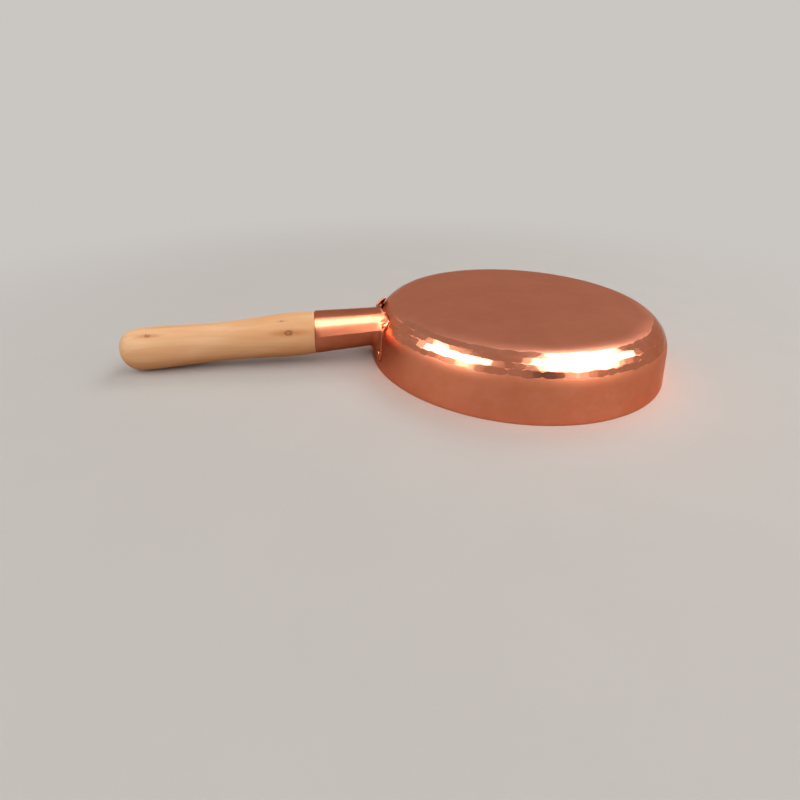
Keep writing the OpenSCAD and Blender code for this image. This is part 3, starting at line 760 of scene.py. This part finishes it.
def along_socket(f):
    """Direction across the brushing, which goes round the handle's axis: along the tube, and away from the
    axis on the flange. The shader keeps the part of it that lies in the surface."""
    axis_z = (RIM_R * math.sin(DROOP) + HANDLE_Z * math.cos(DROOP)) * MM
    place = f.place(shift=(0, 0, -axis_z), turn=(0, DROOP, 0))
    away = f.vector("NORMALIZE", f.vector("MULTIPLY", place, (0.0, 1.0, 1.0)))
    return f.vector("ADD", away, (1.0, 0.0, 0.0))


def painted_shade_inside(f):
    """1 on the sheet's inner face, which the finish paints near-black copper as shade."""
    return f.stored("inside")


# Knots: (outward along the handle from the rim, degrees up from level on the near side, radius, strength)
KNOTS = [(166.3, 56.3, 1.35, 0.9), (64.8, 26.3, 2.0, 0.95), (69.1, 60.3, 0.7, 0.6),
         (120.0, 205.0, 1.8, 0.9), (88.0, 150.0, 1.2, 0.6)]
# Along the grain a knot is drawn out by the first share, and its halo by the second as well
KNOT_ALONG, HALO_ALONG = 0.62, 0.28
# Shares of a knot's radius: its halo from and to, its heart from and to, and its ring's start, crest and end
HALO_SPAN, HEART_SPAN, RING_SPAN = (0.2, 2.0), (0.1, 0.45), (0.1, 0.6, 1.3)
HALO_SHARE, HEART_SHARE, RING_SHARE = 0.85, 0.8, 0.85
# The wavering of a knot's outline, and its size, in millimetres
WAVER, WAVER_SIZE = 2, 1.5
WOOD_PALE = (0.88, 0.52, 0.28, 1)
WOOD_WARM = (0.78, 0.375, 0.15, 1)
WOOD_LINE = (0.55, 0.23, 0.085, 1)
KNOT_HALO = (0.60, 0.225, 0.065, 1)
KNOT_DARK = (0.26, 0.09, 0.028, 1)
KNOT_HEART = (0.62, 0.31, 0.13, 1)
# Sizes in millimetres of growth bands, streaks, pores and blotches, and their shares of the darker tints
BAND_SIZE, STREAK_SIZE, PORE_SIZE, BLOTCH_SIZE = 5.5, 1.6, 0.35, 30
BAND_SHARE, STREAK_SHARE, PORE_SHARE, BLOTCH_SHARE = 0.5, 0.16, 0.15, 0.7
STREAK_DEPTH, PORE_DEPTH = 0.05, 0.03


def wood_finish():
    """Pale close-grained wood, sanded and bare: long grain, soft growth bands, small knots."""
    f = Finish("bare_wood")
    along = (0, -DROOP, 0)
    band = f.noise(BAND_SIZE, 3, 0.5, f.place((0.07, 1, 1), turn=along), 0.6)
    streak = f.noise(STREAK_SIZE, 4, 0.6, f.place((0.04, 1, 1), turn=along))
    pores = f.noise(PORE_SIZE, 2, 0.6, f.place((0.06, 1, 1), turn=along))
    blotch = f.noise(BLOTCH_SIZE, 2, 0.5, f.place((0.4, 1, 1)))
    tint = WOOD_PALE
    for value, low, high, share, darker in ((band, 0.38, 0.66, BAND_SHARE, WOOD_WARM),
                                            (streak, 0.55, 0.75, STREAK_SHARE, WOOD_LINE),
                                            (blotch, 0.35, 0.7, BLOTCH_SHARE, WOOD_WARM),
                                            (pores, 0.6, 0.8, PORE_SHARE, WOOD_LINE)):
        tint = f.mix(f.sum("MULTIPLY", f.spread(value, low, high), share), tint, darker)
    waver = f.make("ShaderNodeTexNoise", Vector=f.point, Scale=1 / (WAVER_SIZE * MM), Detail=2.0)
    waver = f.vector("MULTIPLY", waver.outputs["Color"], (WAVER * MM,) * 3)
    moved = f.vector("ADD", f.point, waver)
    profile = wood_profile()
    radii = np.interp([k[0] - SOCKET_LEN for k in KNOTS], profile[:, 1], profile[:, 0])
    for (out, rise, radius, strength), r in zip(KNOTS, radii):
        rise = math.radians(rise)
        place = on_handle([[r * math.sin(rise), -r * math.cos(rise), out]])[0] + WAVER / 2
        centre = tuple(-place * (KNOT_ALONG, 1, 1) * MM)
        local = f.make("ShaderNodeMapping", Vector=moved, Scale=(KNOT_ALONG, 1, 1), Location=centre)
        long_local = f.make("ShaderNodeMapping", Vector=local.outputs[0], Scale=(HALO_ALONG, 1, 1))
        away, long_away = (f.vector("LENGTH", node.outputs[0]) for node in (local, long_local))
        unit = radius * MM
        halo_from, halo_to = (share * unit for share in HALO_SPAN)
        heart_from, heart_to = (share * unit for share in HEART_SPAN)
        ring_from, ring_crest, ring_to = (share * unit for share in RING_SPAN)
        halo = f.spread(long_away, halo_from, halo_to, HALO_SHARE * strength, 0.0)
        heart = f.spread(away, heart_from, heart_to, HEART_SHARE * strength, 0.0)
        ring = f.sum("MULTIPLY", f.spread(away, ring_from, ring_crest),
                     f.spread(away, ring_crest, ring_to, 1.0, 0.0))
        tint = f.mix(halo, tint, KNOT_HALO)
        tint = f.mix(heart, tint, KNOT_HEART)
        tint = f.mix(f.sum("MULTIPLY", ring, RING_SHARE * strength), tint, KNOT_DARK)
    rough = f.spread(streak, 0.3, 0.8, 0.56, 0.7)
    normal = f.bump(pores, PORE_DEPTH, f.bump(streak, STREAK_DEPTH))
    f.set(Base_Color=tint, Roughness=rough, Normal=normal, Metallic=0.0, Specular_IOR_Level=0.12)
    return f.material


# Stage: floor, world, lamps and camera

# The world's fill, and the strength, the place and the inner and outer angle of its dark place
WORLD_FILL, WORLD_DARK = 0.30, 0.35
DARK_AZIMUTH, DARK_ELEVATION, DARK_INNER, DARK_OUTER = 8, 32, 5, 13
# The floor, its mottling, what it throws back on the pan, the distance in metres over which it fades, and
# the sizes in millimetres of its grain and its mottling
FLOOR_TINT = (0.60, 0.565, 0.53, 1)
FLOOR_MOTTLE = (0.564, 0.5311, 0.4982, 1)
FLOOR_BOUNCE = (0.27, 0.18, 0.13, 1)
FLOOR_FADE = 0.26, 0.8
FLOOR_GRAIN, FLOOR_PATCH = 0.8, 60
SKY_TINT = (0.59, 0.565, 0.54, 1)


def pale_floor():
    """A wide round floor that fades into the world's own colour far from the pan."""
    columns, radii = 96, [150, 320, 600, 1000, 1600, 3000, 8000]
    turns = np.arange(columns) * 2 * math.pi / columns
    rings = circle_grid(radii, [0] * len(radii), turns)
    points = np.concatenate([rings.reshape(-1, 3), [[0, 0, 0]]])
    faces = [[i, (i + 1) % columns, len(points) - 1] for i in range(columns)]
    faces += [face[::-1] for face in tube_faces(len(radii), columns)]
    floor = add_mesh("floor", points, faces)
    f = Finish("pale_floor")
    cloth = f.noise(FLOOR_GRAIN, 2, 0.5)
    mottle = f.noise(FLOOR_PATCH, 2, 0.5)
    tint = f.mix(f.spread(mottle, 0.3, 0.7, 0.0, 0.25), FLOOR_TINT, FLOOR_MOTTLE)
    rays = f.make("ShaderNodeLightPath").outputs
    shown = f.sum("ADD", rays["Is Camera Ray"], rays["Is Glossy Ray"], clamp=True)
    tint = f.mix(shown, FLOOR_BOUNCE, tint)
    f.set(Base_Color=tint, Roughness=0.9, Specular_IOR_Level=0.1, Normal=f.bump(cloth, 0.05))
    away = f.vector("LENGTH", f.point)
    glow = f.make("ShaderNodeEmission", Color=SKY_TINT, Strength=1.0).outputs[0]
    both = f.make("ShaderNodeMixShader")
    f.feed(both.inputs[0], f.spread(away, *FLOOR_FADE))
    f.feed(both.inputs[1], f.shader.outputs[0])
    f.feed(both.inputs[2], glow)
    f.tree.links.new(both.outputs[0], f.tree.nodes["Material Output"].inputs["Surface"])
    floor.data.materials.append(f.material)


def studio_world():
    """Pale all round for the eye, with a dark place in front for reflections, and a low fill for others."""
    world = bpy.data.worlds.new("studio")
    bpy.context.scene.world = world
    world.use_nodes = True
    tree = world.node_tree
    new, link = tree.nodes.new, tree.links.new
    background = tree.nodes["Background"]
    towards = new("ShaderNodeVectorMath")
    towards.operation = "DOT_PRODUCT"
    link(new("ShaderNodeTexCoord").outputs["Generated"], towards.inputs[0])
    towards.inputs[1].default_value = direction(DARK_AZIMUTH, DARK_ELEVATION)
    front = new("ShaderNodeMapRange")
    front.interpolation_type = "SMOOTHSTEP"
    link(towards.outputs["Value"], front.inputs[0])
    inner, outer = math.cos(math.radians(DARK_INNER)), math.cos(math.radians(DARK_OUTER))
    for socket, number in zip(front.inputs[1:5], (outer, inner, 1.0, WORLD_DARK)):
        socket.default_value = number
    rays = new("ShaderNodeLightPath")
    shine = new("ShaderNodeMix")
    link(rays.outputs["Is Glossy Ray"], shine.inputs[0])
    shine.inputs[2].default_value = WORLD_FILL
    link(front.outputs[0], shine.inputs[3])
    seen = new("ShaderNodeMix")
    link(rays.outputs["Is Camera Ray"], seen.inputs[0])
    link(shine.outputs[0], seen.inputs[2])
    seen.inputs[3].default_value = 1.0
    background.inputs["Color"].default_value = SKY_TINT
    link(seen.outputs[0], background.inputs["Strength"])


def direction(azimuth, elevation):
    """Unit vector at an azimuth, where 0 is towards -Y and 90 towards +X, and an elevation, in degrees."""
    a, e = math.radians(azimuth), math.radians(elevation)
    return Vector((math.sin(a) * math.cos(e), -math.cos(a) * math.cos(e), math.sin(e)))


# Distances of the lamps in metres. A panel that shines has no panel that lights in its own place.
LIGHT_DISTANCE, SHINE_DISTANCE = 3.0, 1.2
AIM = Vector((0, 0, 0.02))


def softbox(name, azimuth, elevation, wide, high, light=0.0, shine=0.0, behind=0.0):
    """A soft lamp that spans wide by high degrees as seen from the pan. light is its brightness on what it
    lights, shine its brightness in reflections, and behind how much farther off it stands."""
    span = azimuth, elevation, wide, high
    if light > 0:
        panel(name + "_light", *span, LIGHT_DISTANCE + behind, light, True)
    if shine > 0:
        panel(name + "_shine", *span, SHINE_DISTANCE + behind, shine, False)


def panel(name, azimuth, elevation, wide, high, distance, brightness, lights):
    """One rectangle of a softbox, for lighting or for reflections."""
    lamp = bpy.data.lights.new(name, "AREA")
    lamp.shape = "RECTANGLE"
    lamp.size = 2 * distance * math.tan(math.radians(wide / 2))
    lamp.size_y = 2 * distance * math.tan(math.radians(high / 2))
    lamp.energy = 4 * brightness * lamp.size * lamp.size_y
    box = bpy.data.objects.new(name, lamp)
    bpy.context.scene.collection.objects.link(box)
    way = direction(azimuth, elevation)
    box.location = AIM + way * distance
    box.rotation_mode = "QUATERNION"
    box.rotation_quaternion = way.to_track_quat("Z", "Y")
    box.visible_camera = False
    box.visible_diffuse = lights
    box.visible_glossy = not lights


# The photograph's camera: the floor point in the middle of the view, and where the camera stands from it
CAMERA_AIM = Vector((-108.2, -73.7, 0)) * MM
CAMERA_AZIMUTH, CAMERA_ELEVATION, CAMERA_DISTANCE = -9.1, 30.96, 306.2 * MM
CAMERA_ROLL, CAMERA_LENS = 0.85, 19.64


def photo_camera():
    """The camera, turned a little about its own line of sight."""
    camera = bpy.data.objects.new("camera", bpy.data.cameras.new("camera"))
    bpy.context.scene.collection.objects.link(camera)
    camera.data.sensor_width = 36
    camera.data.lens = CAMERA_LENS
    camera.data.clip_start = 0.01
    camera.data.clip_end = 50
    back = direction(CAMERA_AZIMUTH, CAMERA_ELEVATION)
    camera.location = CAMERA_AIM + back * CAMERA_DISTANCE
    camera.rotation_mode = "QUATERNION"
    roll = Quaternion((0, 0, 1), math.radians(CAMERA_ROLL))
    camera.rotation_quaternion = (-back).to_track_quat("-Z", "Y") @ roll
    bpy.context.scene.camera = camera


bpy.context.scene.view_settings.view_transform = "Standard"
photo_camera()
pale_floor()
studio_world()
softbox("front_right", 58, 53, 56, 45, light=1.1, shine=8.5)
softbox("front_left", -76, 46, 41, 26, light=1.3, shine=9.5)
softbox("front_low", -15, 35, 50, 30, light=1.7)
softbox("back", 138, 46, 36, 24, light=2.6)
softbox("right_glow", 57, 53, 66, 54, shine=0.5, behind=0.1)
softbox("left_glow", -76, 46, 52, 36, shine=0.9, behind=0.1)

bowl = hammered_bowl()
bowl.data.materials.append(copper_finish("pan_copper", 0.34, 0.11, (1, 1, 0.18), stretch=0.45,
                                         across=across_rings, wear_and_shade=on_base))
socket = rolled_socket()
# The socket's inner face gets near-black copper: painted shade, which also darkens its reflection in the pan
socket.data.materials.append(copper_finish("socket_copper", 0.38, 0.13, (1, 0.12, 0.12), stretch=1.0,
                                           across=along_socket, wear_and_shade=painted_shade_inside, wear_and_shade_tint=COPPER_PAINTED_SHADE))
rivet_metal = copper_finish("rivet_copper", 0.26, 0.18, (1, 1, 1))
for seed, node in enumerate(RIVETS):
    rivet = peened_rivet("peened_" + node, node, seed)
    rivet.data.materials.append(rivet_metal)
handle = turned_handle()
handle.data.materials.append(wood_finish())
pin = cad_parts["handle_pin"]
pin.data.materials.clear()
pin.data.materials.append(copper_finish("pin_copper", 0.28, 0.2, (1, 1, 1)))
